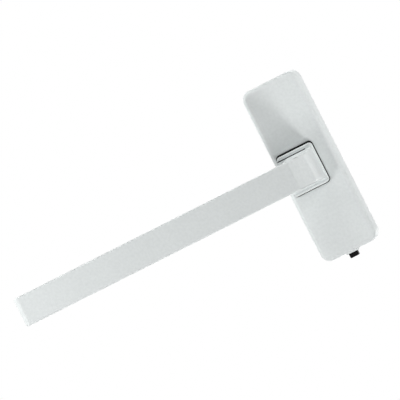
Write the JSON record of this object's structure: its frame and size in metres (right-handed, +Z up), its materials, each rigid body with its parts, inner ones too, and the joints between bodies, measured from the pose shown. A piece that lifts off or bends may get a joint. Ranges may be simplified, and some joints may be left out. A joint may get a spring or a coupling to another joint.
{
  "type": "window handle",
  "caption": "White window handle: straight lever with a chamfered elbow on a slim rounded housing; turning it moves a rack slide with a rear drive fork.",
  "frame": {"origin": "middle of the back face, halfway between the two tapped fixing holes", "axes": "+Z up along the housing, +Y into the window sash (the back face's outward normal), +X to the right seen from the room; the lever points to -X at rest"},
  "size_m": [0.1745, 0.0566, 0.0982],
  "materials": {
    "white_paint": "satin",
    "white_plastic": "satin",
    "black_plastic": "matte",
    "black_zinc": "satin",
    "steel": "satin",
    "zinc": "satin",
    "pale_plastic": "satin"
  },
  "bodies": {
    "base": {"housing": "white_paint", "back_plate": "zinc", "back_plate_screw_upper": "steel", "back_plate_screw_lower": "steel", "tail_guide": "white_plastic", "pivot_bush": "pale_plastic", "rack_guide": "pale_plastic", "detent_spring_left": "steel", "detent_spring_right": "steel"},
    "handle": {"lever": "white_paint", "grub_screw": "steel", "foot_washer": "black_plastic", "thrust_washer": "steel", "retaining_ring": "steel", "spindle": "steel", "detent_cam": "zinc", "drive_pinion": "zinc"},
    "slide": {"rack_slider": "black_zinc", "drive_fork": "zinc", "fork_screw": "steel"}
  },
  "joints": [
    {"name": "lever_turn", "type": "hinge", "parent": "base", "child": "handle", "pos_m": [-0.003, 0, 0], "axis": [0, -1, 0], "range_deg": [0, 90], "deforming": ["detent_spring_left", "detent_spring_right"]},
    {"name": "slide_travel", "type": "slide", "parent": "base", "child": "slide", "axis": [0, 0, 1], "range_m": [0, 0.0126]}
  ],
  "couplings": [
    {"joint": "slide_travel", "follows": "lever_turn", "m_per_rad": 0.008}
  ]
}
